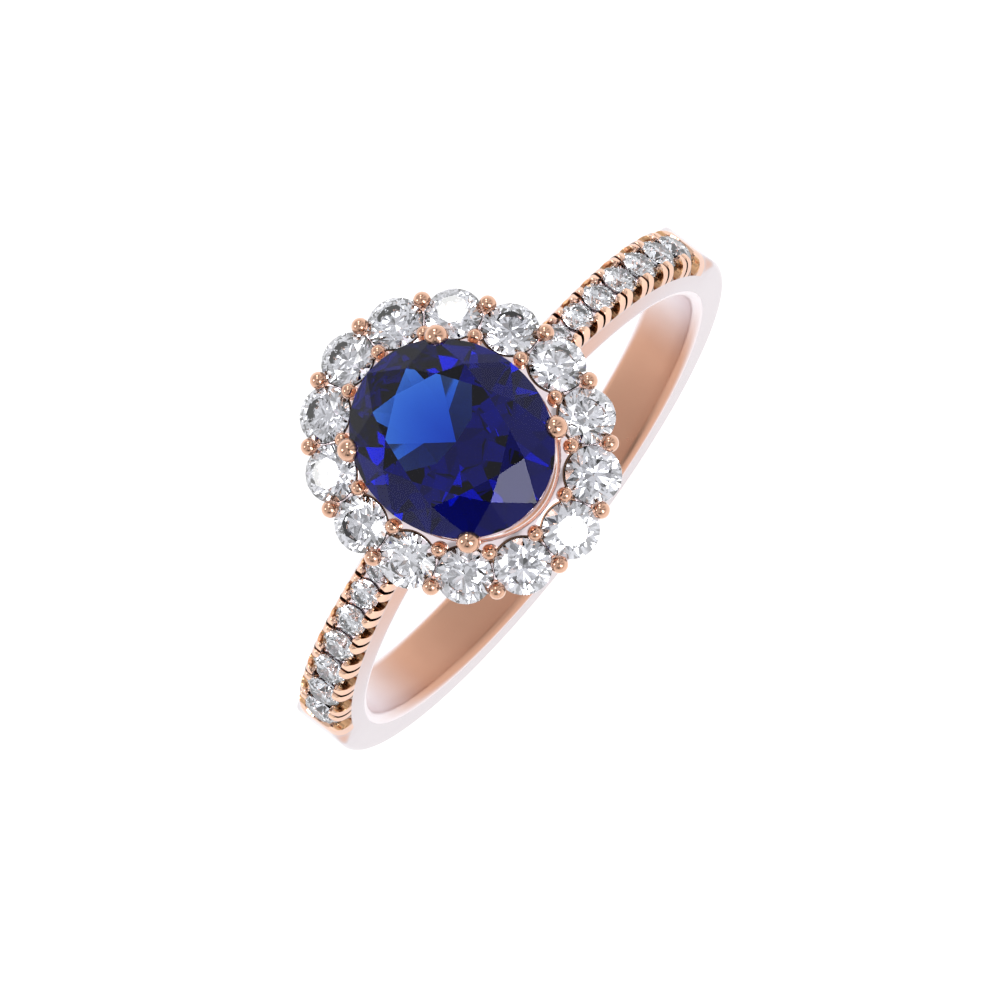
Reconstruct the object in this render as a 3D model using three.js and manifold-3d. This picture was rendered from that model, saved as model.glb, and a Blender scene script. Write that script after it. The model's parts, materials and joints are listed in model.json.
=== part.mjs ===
// Engagement ring: an oval sapphire in a halo of fourteen diamonds on a rose gold shank with pave shoulders.
// Millimetres. The origin is the centre of the finger hole. The finger passes along Y, and +Z runs up
// through the head. Angles round the shank are measured from +Z, towards +X.

import * as THREE from 'three';
import { ConvexGeometry } from 'three/addons/geometries/ConvexGeometry.js';
import { mergeVertices } from 'three/addons/utils/BufferGeometryUtils.js';
import Module from 'manifold-3d';

const wasm = await Module();
wasm.setup();

// ---------------------------------------------------------------- driving dimensions

const SET_GAP = 0.03;              // clearance between a stone or a soldered part and the metal it meets

const BORE_RADIUS = 8.5;           // finger hole, 17.0 mm across
const BAND_RADIUS = 10.0;          // outside of the shank
const BAND_HALF_WIDTH = 1.08;      // plain part of the shank
const TOP_HALF_WIDTH = 0.93;       // at the finger hole, under the head
const BORE_ROUNDING = 0.3;         // comfort rounding of the bore edges
const RIM_ROUNDING = 0.2;          // rounding of the outer edges
const NARROWING = [30, 90];        // degrees: the band narrows from the second to the first
const WALL_LEAN = 0.495;           // share of the width lost from bore to rim where the shoulders are slimmest
const LEANING = [32, 85];          // degrees: full lean above the first, upright walls below the second

const SADDLE_Z = 9.27;             // flat on top of the shank that carries the head
const SADDLE_HALF_LENGTH = 3.9;    // along X

const STONES_PER_SHOULDER = 7;
const FIRST_PRONGS = 25.4;         // degrees: prong pair on the head side of the first shoulder stone
const FIRST_PITCH = 6.3;           // degrees from the first prong pair to the second
const PITCH_GROWTH = 1.07;         // each stone has a little more room than the one before
const STONE_DIAMETER = 0.98;       // smallest shoulder stone
const STONE_GROWTH = 0.07;         // each next stone is this much wider
const STONE_SPACING = 0.1;         // least distance between two stones in a row
const SHOULDER_GIRDLE_RADIUS = 9.76; // from the ring's axis to the stones' girdles
const PRONG_WIDTH = 0.38;          // half of a prong pair, along the band
const SCALLOP_FLOOR = 9.4;         // radius of the lowest point of a scallop
const SPLIT_WIDTH = 0.1;           // slot between the two prongs of a pair
const SPLIT_FLOOR = 9.48;          // radius of the slot's bottom
const SPLIT_INSET = 0.5;           // the slot starts this far from the middle of the band
const CHANNEL_FLOOR = 9.8;         // radius of the open channel between the two rows of prong tips
const CHANNEL_START = 19.4;        // degrees: the channel opens here, above the saddle's end
const CHANNEL_HALF_WIDTH = [0.35, 0.47]; // at its start and at its end
const CUT_CLEAR = 0.5;             // how far a cutter runs past the surface that it opens

const HALO_COUNT = 14;
const HALO_SEMI = [4.0, 4.57];     // ellipse through the halo stones' centres, X and Y
const HALO_GIRDLE_Z = 10.48;
const HALO_TILT = 22;              // degrees outwards
const HALO_DIAMETER = 1.85;
const SEAT_WALL = 0.05;            // metal left round a halo stone's girdle
const SEAT_DEPTH = 0.5;            // from the girdle down to the cup's foot

// Bead claws between neighbouring halo stones; offset is outwards from the ellipse of the stones.
const OUTER_BEAD = { offset: 0.5, z: 10.38, radius: 0.295, post: 0.45 };
const INNER_BEAD = { offset: -0.66, z: 10.9, radius: 0.26, post: 0.5 };
const BEAD_NECK = 0.75;            // post width over ball width

const PLATE_SEMI_OUTER = [3.75, 4.35];
const PLATE_SEMI_INNER = [2.5, 2.9];
const PLATE_Z = [10.2, 10.8];      // bottom and top

const SAPPHIRE_SEMI = [3.05, 3.46];
const SAPPHIRE_GIRDLE_Z = 11.88;
const SAPPHIRE_CROWN = 0.85;
const SAPPHIRE_GIRDLE = 0.1;
const SAPPHIRE_PAVILION = 2.15;
const SAPPHIRE_TABLE = 0.61;       // table width over girdle width

const COLLET_SEMI = [2.93, 3.34];
const COLLET_WALL = 0.45;
const COLLET_Z = [PLATE_Z[1] + SET_GAP, 11.62];

const CLAW_TIP = [2.27, 2.43, 11.79]; // centre of the ball
const CLAW_FOOT = [1.36, 1.45, 9.8];  // middle of the wire where it meets the base rail
const CLAW_BALL_RADIUS = 0.39;
const CLAW_WIRE_RADIUS = 0.27;

const RAIL_SEMI = [1.88, 2.12];    // middle of the base rail's wall: an open collar between the shank's ends
const RAIL_WALL = 0.42;
const RAIL_Z = [8.55, 9.8];

// Proportions of a round brilliant, each over its diameter.
const ROUND_CUT = { table: 0.56, crown: 0.15, girdle: 0.03, pavilion: 0.43 };

// Facets of the curved surfaces.
const BAND_SEGMENTS = 80;
const OVAL_SEGMENTS = 36;
const CORNER_STEPS = 2;
const CHANNEL_STEPS = 11;
const CUP_SEGMENTS = 12;
const BEAD_SEGMENTS = 8;
const BEAD_STEPS = 3;
const WIRE_SEGMENTS = 10;
const BALL_SEGMENTS = [12, 8];
const SAPPHIRE_CORNERS = 24;
const HALO_CORNERS = 12;
const SHOULDER_CORNERS = 8;

// ---------------------------------------------------------------- materials

const roseGold = () => new THREE.MeshStandardMaterial({ color: 0xe3a98c, roughness: 0.18, metalness: 1 });
const sapphireBlue = () => new THREE.MeshStandardMaterial({ color: 0x0b1a6b, roughness: 0.03, metalness: 0 });
const diamondWhite = () => new THREE.MeshStandardMaterial({ color: 0xe9edf2, roughness: 0.03, metalness: 0 });

// ---------------------------------------------------------------- small helpers

const radians = THREE.MathUtils.degToRad;
const ring = new THREE.Group();

// A closed geometry as a manifold-3d solid.
function solid(geometry) {
  const bare = geometry.clone();
  bare.deleteAttribute('normal');
  bare.deleteAttribute('uv');
  const merged = mergeVertices(bare, 1e-5);
  return new wasm.Manifold(new wasm.Mesh({
    numProp: 3,
    vertProperties: merged.attributes.position.array,
    triVerts: new Uint32Array(merged.index.array),
  }));
}

// A manifold-3d solid as a geometry.
function geometryOf(body) {
  const mesh = body.getMesh();
  const geometry = new THREE.BufferGeometry();
  geometry.setAttribute('position', new THREE.BufferAttribute(mesh.vertProperties, 3));
  geometry.setIndex(new THREE.BufferAttribute(mesh.triVerts, 1));
  geometry.computeVertexNormals();
  return geometry;
}

function addNode(name, geometry, material) {
  const mesh = new THREE.Mesh(geometry, material);
  mesh.name = name;
  ring.add(mesh);
  return mesh;
}

// A geometry moved to a place, with its own Z turned to a direction.
function placed(geometry, position, direction = new THREE.Vector3(0, 0, 1)) {
  const turn = new THREE.Quaternion().setFromUnitVectors(new THREE.Vector3(0, 0, 1), direction);
  const matrix = new THREE.Matrix4().compose(position, turn, new THREE.Vector3(1, 1, 1));
  return geometry.clone().applyMatrix4(matrix);
}

// A closed profile of [radius, height] points turned about Z.
function turnedAboutZ(profile, segments) {
  const points = profile.map(([radius, height]) => new THREE.Vector2(radius, height));
  return new THREE.LatheGeometry(points, segments).rotateX(Math.PI / 2);
}

// An upright oval block between two heights, or an oval wall if it has an inside.
function ovalRing(outer, inner, [bottom, top]) {
  const oval = (semi) => new THREE.EllipseCurve(0, 0, ...semi).getPoints(OVAL_SEGMENTS).slice(0, -1);
  const outline = new THREE.Shape(oval(outer));
  if (inner) outline.holes.push(new THREE.Path(oval(inner)));
  const options = { depth: top - bottom, bevelEnabled: false, steps: 1 };
  return new THREE.ExtrudeGeometry(outline, options).translate(0, 0, bottom);
}

// ---------------------------------------------------------------- stones

// Corners of a level oval, the first one on +X unless turned by half a step.
function cornerRing(count, semi, z, halfStep = false) {
  const corners = [];
  for (let k = 0; k < count; k += 1) {
    const angle = (2 * Math.PI * (k + (halfStep ? 0.5 : 0))) / count;
    corners.push(new THREE.Vector3(semi[0] * Math.cos(angle), semi[1] * Math.sin(angle), z));
  }
  return corners;
}

// A cut stone about its girdle's middle: table, crown, upright girdle and pavilion, with its table up.
// grow makes the cutter for its seat, larger than the stone all round.
function cutStone({ semi, table, crown, girdle, pavilion, corners, grow = 0 }) {
  const girdleSemi = semi.map((half) => half + grow);
  const tableSemi = semi.map((half) => half * table + grow);
  const edge = (girdle + grow) / 2;
  return new ConvexGeometry([
    ...cornerRing(corners / 2, tableSemi, girdle / 2 + crown + grow, true),
    ...cornerRing(corners, girdleSemi, edge),
    ...cornerRing(corners, girdleSemi, -edge),
    new THREE.Vector3(0, 0, -edge - pavilion - grow),
  ]);
}

function roundCut(diameter, corners, grow = 0) {
  const semi = [diameter / 2, diameter / 2];
  const { table } = ROUND_CUT;
  const crown = ROUND_CUT.crown * diameter;
  const girdle = ROUND_CUT.girdle * diameter;
  const pavilion = ROUND_CUT.pavilion * diameter;
  return cutStone({ semi, table, crown, girdle, pavilion, corners, grow });
}

// ---------------------------------------------------------------- shank

// How far a value is between two limits, kept within 0 and 1.
function share(value, [from, to]) {
  return THREE.MathUtils.clamp((value - from) / (to - from), 0, 1);
}

// Full wall lean near the head, none on the plain part.
function leanAt(degrees) {
  return WALL_LEAN * (1 - share(degrees, LEANING));
}

// Half width at the bore: constant below the middle, narrowing towards the head.
function boreHalfWidthAt(degrees) {
  return THREE.MathUtils.lerp(TOP_HALF_WIDTH, BAND_HALF_WIDTH, share(degrees, NARROWING));
}

// Narrows every point of the turned band for its place round the ring and its height in the wall.
function taperBand(geometry) {
  const position = geometry.attributes.position;
  for (let k = 0; k < position.count; k += 1) {
    const x = position.getX(k);
    const z = position.getZ(k);
    const degrees = Math.abs(THREE.MathUtils.radToDeg(Math.atan2(x, z)));
    const rise = share(Math.hypot(x, z), [BORE_RADIUS + BORE_ROUNDING, BAND_RADIUS]);
    const scale = (boreHalfWidthAt(degrees) / BAND_HALF_WIDTH) * (1 - leanAt(degrees) * rise);
    position.setY(k, position.getY(k) * scale);
  }
  return geometry;
}

// Cross-section of the band with four rounded corners, as [radius, y] points in order.
function bandSection() {
  const corner = (radius, y, rounding, from) => {
    const points = [];
    for (let k = 0; k <= CORNER_STEPS; k += 1) {
      const angle = radians(from + (90 * k) / CORNER_STEPS);
      points.push([radius + rounding * Math.cos(angle), y + rounding * Math.sin(angle)]);
    }
    return points;
  };
  const rim = BAND_RADIUS - RIM_ROUNDING;
  const bore = BORE_RADIUS + BORE_ROUNDING;
  const section = [
    ...corner(rim, RIM_ROUNDING - BAND_HALF_WIDTH, RIM_ROUNDING, -90),
    ...corner(rim, BAND_HALF_WIDTH - RIM_ROUNDING, RIM_ROUNDING, 0),
    ...corner(bore, BAND_HALF_WIDTH - BORE_ROUNDING, BORE_ROUNDING, 90),
    ...corner(bore, BORE_ROUNDING - BAND_HALF_WIDTH, BORE_ROUNDING, 180),
  ];
  return [...section, section[0]];
}

// A piece drawn at the top of the ring, turned down the shoulder by an angle.
function atAngle(geometry, degrees) {
  return geometry.clone().rotateY(radians(degrees));
}

// Angle of the prong pair before shoulder stone k.
function prongAngle(k) {
  return FIRST_PRONGS + (FIRST_PITCH * (PITCH_GROWTH ** k - 1)) / (PITCH_GROWTH - 1);
}

function shoulderStone(k) {
  const before = prongAngle(k);
  const after = prongAngle(k + 1);
  const room = radians(after - before) * SHOULDER_GIRDLE_RADIUS;
  const diameter = Math.min(room - STONE_SPACING, STONE_DIAMETER + STONE_GROWTH * k);
  return { angle: (before + after) / 2, room, diameter };
}

// An outline in the ring's plane, extruded to both sides of the middle.
function acrossBand(outline, halfWidth) {
  const options = { depth: 2 * halfWidth, bevelEnabled: false, steps: 1, curveSegments: 3 };
  return new THREE.ExtrudeGeometry(outline, options).translate(0, 0, -halfWidth).rotateX(Math.PI / 2);
}

// U-shaped scallop right across the band under one stone.
function scallop(room) {
  const half = room / 2 - PRONG_WIDTH;
  const outline = new THREE.Shape();
  outline.moveTo(half, BAND_RADIUS + CUT_CLEAR);
  outline.lineTo(half, SCALLOP_FLOOR + half);
  outline.absarc(0, SCALLOP_FLOOR + half, half, 0, -Math.PI, true);
  outline.lineTo(-half, BAND_RADIUS + CUT_CLEAR);
  return acrossBand(outline, BAND_HALF_WIDTH + CUT_CLEAR);
}

// The two slots that split one prong pair, one on each side of the band.
function splitSlots() {
  const height = BAND_RADIUS + CUT_CLEAR - SPLIT_FLOOR;
  const length = BAND_HALF_WIDTH + CUT_CLEAR - SPLIT_INSET;
  const slot = new THREE.BoxGeometry(SPLIT_WIDTH, length, height).translate(0, 0, SPLIT_FLOOR + height / 2);
  return [-1, 1].map((side) => slot.clone().translate(0, side * (SPLIT_INSET + length / 2), 0));
}

// Open channel along one shoulder, from the saddle to the last stone, wider as it goes down.
function channel(from, to) {
  const arc = (radius) => {
    const points = [];
    for (let k = 0; k <= CHANNEL_STEPS; k += 1) {
      const angle = radians(THREE.MathUtils.lerp(from, to, k / CHANNEL_STEPS));
      points.push(new THREE.Vector2(radius * Math.sin(angle), radius * Math.cos(angle)));
    }
    return points;
  };
  const outline = new THREE.Shape([...arc(CHANNEL_FLOOR), ...arc(BAND_RADIUS + CUT_CLEAR).reverse()]);
  const geometry = acrossBand(outline, 1);
  const position = geometry.attributes.position;
  for (let k = 0; k < position.count; k += 1) {
    const degrees = THREE.MathUtils.radToDeg(Math.atan2(position.getX(k), position.getZ(k)));
    const halfWidth = THREE.MathUtils.lerp(...CHANNEL_HALF_WIDTH, share(degrees, [from, to]));
    position.setY(k, position.getY(k) * halfWidth);
  }
  return geometry;
}

// Everything that is cut from one shoulder, on the +X side.
function shoulderCuts() {
  const last = prongAngle(STONES_PER_SHOULDER);
  const channelEnd = last - THREE.MathUtils.radToDeg(PRONG_WIDTH / BAND_RADIUS);
  const cuts = [channel(CHANNEL_START, channelEnd)];
  for (let k = 0; k < STONES_PER_SHOULDER; k += 1) {
    const stone = shoulderStone(k);
    const seat = roundCut(stone.diameter, SHOULDER_CORNERS, SET_GAP).translate(0, 0, SHOULDER_GIRDLE_RADIUS);
    cuts.push(atAngle(seat, stone.angle));
    cuts.push(atAngle(scallop(stone.room), stone.angle));
    splitSlots().forEach((slot) => cuts.push(atAngle(slot, prongAngle(k))));
  }
  return cuts;
}

function shank() {
  const section = bandSection().map(([radius, y]) => new THREE.Vector2(radius, y));
  let body = solid(taperBand(new THREE.LatheGeometry(section, BAND_SEGMENTS)));
  shoulderCuts().forEach((cut) => {
    body = body.subtract(solid(cut));
    body = body.subtract(solid(cut.clone().rotateZ(Math.PI)));
  });
  const height = BAND_RADIUS + CUT_CLEAR - SADDLE_Z;
  const saddle = new THREE.BoxGeometry(2 * SADDLE_HALF_LENGTH, 2 * (TOP_HALF_WIDTH + CUT_CLEAR), height)
    .translate(0, 0, SADDLE_Z + height / 2);
  const railOuter = RAIL_SEMI.map((half) => half + RAIL_WALL / 2 + SET_GAP);
  const wayForRail = ovalRing(railOuter, null, [0, BAND_RADIUS]);
  return geometryOf(body.subtract(solid(saddle)).subtract(solid(wayForRail)));
}

// ---------------------------------------------------------------- head

const haloEllipse = new THREE.EllipseCurve(0, 0, ...HALO_SEMI, Math.PI / 2, Math.PI / 2 + 2 * Math.PI);

// A place at a share of the way round the halo's ellipse, offset outwards, and the way a stone there faces.
function haloPlace(part, offset, z) {
  const point = haloEllipse.getPointAt(part);
  const tangent = haloEllipse.getTangentAt(part);
  const outward = new THREE.Vector2(tangent.y, -tangent.x);
  const position = new THREE.Vector3(point.x + offset * outward.x, point.y + offset * outward.y, z);
  const lean = radians(HALO_TILT);
  const up = new THREE.Vector3(outward.x * Math.sin(lean), outward.y * Math.sin(lean), Math.cos(lean));
  return { position, up };
}

const haloStonePlace = (k) => haloPlace(k / HALO_COUNT, 0, HALO_GIRDLE_Z);

// A ball on a short post, its ball centred on the origin.
function beadClaw({ radius, post }) {
  const neck = radius * BEAD_NECK;
  const profile = [[0, -post], [neck, -post]];
  for (let k = 0; k < BEAD_STEPS; k += 1) {
    const angle = THREE.MathUtils.lerp(-Math.acos(BEAD_NECK), Math.PI / 2, k / BEAD_STEPS);
    profile.push([radius * Math.cos(angle), radius * Math.sin(angle)]);
  }
  profile.push([0, radius]);
  return turnedAboutZ(profile, BEAD_SEGMENTS);
}

// One claw wire with a ball tip; grow makes the cutter for the parts that it passes.
function clawBody(sideX, sideY, grow = 0) {
  const foot = new THREE.Vector3(sideX * CLAW_FOOT[0], sideY * CLAW_FOOT[1], CLAW_FOOT[2]);
  const tip = new THREE.Vector3(sideX * CLAW_TIP[0], sideY * CLAW_TIP[1], CLAW_TIP[2]);
  const middle = foot.clone().add(tip).multiplyScalar(0.5);
  const direction = tip.clone().sub(foot).normalize();
  const radius = CLAW_WIRE_RADIUS + grow;
  const wire = new THREE.CylinderGeometry(radius, radius, foot.distanceTo(tip), WIRE_SEGMENTS);
  const ball = new THREE.SphereGeometry(CLAW_BALL_RADIUS + grow, ...BALL_SEGMENTS);
  return solid(placed(wire.rotateX(Math.PI / 2), middle, direction))
    .add(solid(placed(ball.rotateX(Math.PI / 2), tip, direction)));
}

const sapphireCut = (grow = 0) => cutStone({
  semi: SAPPHIRE_SEMI,
  table: SAPPHIRE_TABLE,
  crown: SAPPHIRE_CROWN,
  girdle: SAPPHIRE_GIRDLE,
  pavilion: SAPPHIRE_PAVILION,
  corners: SAPPHIRE_CORNERS,
  grow,
}).translate(0, 0, SAPPHIRE_GIRDLE_Z);

// A claw as fitted: its foot level on the base rail, and its ball notched for the centre stone.
function claw(sideX, sideY) {
  const width = 4 * CLAW_TIP[0];
  const below = new THREE.BoxGeometry(width, width, 1).translate(0, 0, RAIL_Z[1] + SET_GAP - 0.5);
  return clawBody(sideX, sideY)
    .subtract(solid(sapphireCut(SET_GAP)))
    .subtract(solid(below));
}

const CLAW_SIDES = { front_left: [-1, -1], front_right: [1, -1], back_left: [-1, 1], back_right: [1, 1] };

// Clears the claws' way through another head part.
function clearOfClaws(body) {
  return Object.values(CLAW_SIDES).reduce((left, side) => left.subtract(clawBody(...side, SET_GAP)), body);
}

// Scalloped seat plate of the halo with its two rows of bead claws, one cast piece.
function haloFrame() {
  let body = solid(ovalRing(PLATE_SEMI_OUTER, PLATE_SEMI_INNER, PLATE_Z));
  const cup = turnedAboutZ([
    [0, -SEAT_DEPTH],
    [HALO_DIAMETER / 2 + SEAT_WALL, -SEAT_DEPTH],
    [HALO_DIAMETER / 2 + SEAT_WALL, 0],
    [0, 0],
  ], CUP_SEGMENTS);
  for (let k = 0; k < HALO_COUNT; k += 1) {
    const { position, up } = haloStonePlace(k);
    body = body.add(solid(placed(cup, position, up)));
  }
  for (let k = 0; k < HALO_COUNT; k += 1) {
    [OUTER_BEAD, INNER_BEAD].forEach((bead) => {
      const { position, up } = haloPlace((k + 0.5) / HALO_COUNT, bead.offset, bead.z);
      body = body.add(solid(placed(beadClaw(bead), position, up)));
    });
  }
  for (let k = 0; k < HALO_COUNT; k += 1) {
    const { position, up } = haloStonePlace(k);
    body = body.subtract(solid(placed(roundCut(HALO_DIAMETER, HALO_CORNERS, SET_GAP), position, up)));
  }
  return clearOfClaws(body);
}

// Oval collet under the centre stone's girdle, its inside following the pavilion.
function collet() {
  const inner = COLLET_SEMI.map((half) => half - COLLET_WALL);
  const body = solid(ovalRing(COLLET_SEMI, inner, COLLET_Z)).subtract(solid(sapphireCut(SET_GAP)));
  return clearOfClaws(body);
}

function baseRail() {
  const outer = RAIL_SEMI.map((half) => half + RAIL_WALL / 2);
  const inner = RAIL_SEMI.map((half) => half - RAIL_WALL / 2);
  return ovalRing(outer, inner, RAIL_Z);
}

// ---------------------------------------------------------------- assembly

const numbered = (name, k) => `${name}_${String(k + 1).padStart(2, '0')}`;

addNode('shank', shank(), roseGold());
addNode('base_rail', baseRail(), roseGold());
addNode('halo_frame', geometryOf(haloFrame()), roseGold());
addNode('center_collet', geometryOf(collet()), roseGold());
Object.entries(CLAW_SIDES).forEach(([name, side]) => {
  addNode(`claw_${name}`, geometryOf(claw(...side)), roseGold());
});
addNode('center_sapphire', sapphireCut(), sapphireBlue());

for (let k = 0; k < HALO_COUNT; k += 1) {
  const { position, up } = haloStonePlace(k);
  const stone = addNode(numbered('halo_diamond', k), roundCut(HALO_DIAMETER, HALO_CORNERS), diamondWhite());
  stone.position.copy(position);
  stone.quaternion.setFromUnitVectors(new THREE.Vector3(0, 0, 1), up);
}

[['right', 0], ['left', Math.PI]].forEach(([side, turn]) => {
  const shoulder = new THREE.Group();
  shoulder.rotation.z = turn;
  ring.add(shoulder);
  for (let k = 0; k < STONES_PER_SHOULDER; k += 1) {
    const { angle, diameter } = shoulderStone(k);
    const geometry = roundCut(diameter, SHOULDER_CORNERS).translate(0, 0, SHOULDER_GIRDLE_RADIUS);
    const stone = addNode(numbered(`${side}_shoulder_diamond`, k), geometry, diamondWhite());
    stone.rotation.y = radians(angle);
    shoulder.add(stone);
  }
});

export default ring;
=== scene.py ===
import json
import math

import bmesh
import bpy
from mathutils import Matrix, Vector

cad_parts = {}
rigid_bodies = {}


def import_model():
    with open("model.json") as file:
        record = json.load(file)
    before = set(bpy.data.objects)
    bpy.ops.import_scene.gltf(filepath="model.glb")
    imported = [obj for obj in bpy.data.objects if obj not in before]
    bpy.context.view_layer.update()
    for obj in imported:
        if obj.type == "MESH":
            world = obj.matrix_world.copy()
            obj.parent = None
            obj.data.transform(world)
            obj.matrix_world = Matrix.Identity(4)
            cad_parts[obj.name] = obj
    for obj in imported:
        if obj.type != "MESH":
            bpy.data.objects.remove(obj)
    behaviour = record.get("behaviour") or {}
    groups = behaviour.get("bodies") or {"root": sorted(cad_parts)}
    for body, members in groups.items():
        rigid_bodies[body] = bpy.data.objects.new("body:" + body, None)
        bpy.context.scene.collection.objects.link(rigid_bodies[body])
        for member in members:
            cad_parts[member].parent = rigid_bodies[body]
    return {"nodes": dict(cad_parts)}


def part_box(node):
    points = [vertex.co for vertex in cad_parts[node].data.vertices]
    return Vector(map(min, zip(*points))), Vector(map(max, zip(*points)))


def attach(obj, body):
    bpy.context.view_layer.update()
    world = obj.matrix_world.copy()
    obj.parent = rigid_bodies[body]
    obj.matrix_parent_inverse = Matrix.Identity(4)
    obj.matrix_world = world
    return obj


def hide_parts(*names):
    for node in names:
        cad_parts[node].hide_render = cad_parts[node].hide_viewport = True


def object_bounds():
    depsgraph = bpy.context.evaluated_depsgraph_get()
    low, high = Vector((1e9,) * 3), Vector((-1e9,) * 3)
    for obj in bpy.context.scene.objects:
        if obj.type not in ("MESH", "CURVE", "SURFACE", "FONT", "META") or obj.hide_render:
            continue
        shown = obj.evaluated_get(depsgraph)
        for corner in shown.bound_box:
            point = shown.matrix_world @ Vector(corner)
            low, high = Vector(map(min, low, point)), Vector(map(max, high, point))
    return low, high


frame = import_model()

# An oval sapphire in a halo of fourteen diamonds, on a rose gold shank with stone-set shoulders.
# Lengths here are millimetres in the ring's own frame; MM turns them into metres. Angles round the
# shank are measured from +Z towards +X.

MM = 0.001
CAD_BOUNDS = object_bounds()

# ---------------------------------------------------------------- dimensions of the metal

BORE_RADIUS = 8.5
BAND_RADIUS = 10.0
BAND_HALF_WIDTH = 1.08
TOP_HALF_WIDTH = 0.93  # at the finger hole, under the head
BORE_ROUNDING = 0.3
RIM_ROUNDING = 0.2
NARROWING = (30.0, 90.0)  # degrees over which the shank widens from the head
WALL_LEAN = 0.495  # share of the width that the leaning walls take off at the top
LEANING = (32.0, 85.0)  # degrees over which the walls straighten
SADDLE_Z = 9.27  # flat that clears the halo
SADDLE_END = 23.0
SET_GAP = 0.03

STONES_PER_SHOULDER = 7
SHOULDER_STONE = 0.98  # diameter of the seat nearest the head
SHOULDER_STONE_GROWTH = 0.07
FIRST_PRONGS = 25.4
FIRST_PITCH = 6.3
PITCH_GROWTH = 1.07
STONE_RING = 9.76  # radius of the stones' girdles
SEAT_DROP = 0.05
SEAT_SLOPE = 0.87
PRONG_HALF = 0.38  # of a prong pair, along the band
PRONG_CROWN = 0.14
PRONG_LEAD = 2.5  # degrees before the first prongs where their shaping begins
SCALLOP_FLOOR = 9.4
SLOT_HALF = 0.05
SLOT_FLOOR = 9.44
CHANNEL_FLOOR = 9.68
CHANNEL_HALF = (0.35, 0.47)  # at the channel's start and end
CHANNEL_START = 19.4

HALO_COUNT = 14
HALO_SEMI = (4.0, 4.57)
HALO_GIRDLE_Z = 10.48
HALO_TILT = math.radians(22)
HALO_RADIUS = 0.925  # of each stone
OUTER_BEAD = {"offset": 0.5, "z": 10.38, "radius": 0.288, "post": 0.45}
INNER_BEAD = {"offset": -0.66, "z": 10.9, "radius": 0.26, "post": 0.5}


def lerp(a, b, t):
    return a + (b - a) * t


def share(value, low, high):
    """How far value is between two limits, kept within 0 and 1."""
    return min(1.0, max(0.0, (value - low) / (high - low)))


def soft_min(a, b, width):
    """The smaller of two numbers, with the crease between them rounded."""
    blend = max(width - abs(a - b), 0.0) / width
    return min(a, b) - blend * blend * width / 4


# ---------------------------------------------------------------- materials


def node_material(name):
    material = bpy.data.materials.new(name)
    material.use_nodes = True
    nodes = material.node_tree.nodes
    return material, nodes, material.node_tree.links, nodes["Principled BSDF"]


# Painted sheen and shade: each gold takes a second, glance tone by viewing angle.
PAINTED_GLANCE_FACING = (0.35, 0.8)  # facing values between which the gold takes its second tone
# Painted shade: the dark colour laid on the metal deep in the scallops, nearer the ring's axis.
PAINTED_DEEP_SHADE = (0.22, 0.11, 0.06, 1)


def with_painted_depth_shade(nodes, links, where, colour, shade_depths):
    """The colour with painted shade, darker towards the ring's axis between two distances from it in
    millimetres.
    """
    flat = nodes.new("ShaderNodeVectorMath")
    flat.operation = "MULTIPLY"
    flat.inputs[1].default_value = (1.0, 0.0, 1.0)
    links.new(where.outputs["Object"], flat.inputs[0])
    radius = nodes.new("ShaderNodeVectorMath")
    radius.operation = "LENGTH"
    links.new(flat.outputs["Vector"], radius.inputs[0])
    lit = nodes.new("ShaderNodeMapRange")
    lit.interpolation_type = "SMOOTHSTEP"
    lit.inputs["From Min"].default_value = shade_depths[0] * MM
    lit.inputs["From Max"].default_value = shade_depths[1] * MM
    links.new(radius.outputs["Value"], lit.inputs["Value"])
    mix = nodes.new("ShaderNodeMix")
    mix.data_type = "RGBA"
    mix.inputs["A"].default_value = PAINTED_DEEP_SHADE
    links.new(lit.outputs["Result"], mix.inputs["Factor"])
    links.new(colour, mix.inputs["B"])
    return mix.outputs["Result"]


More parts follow.
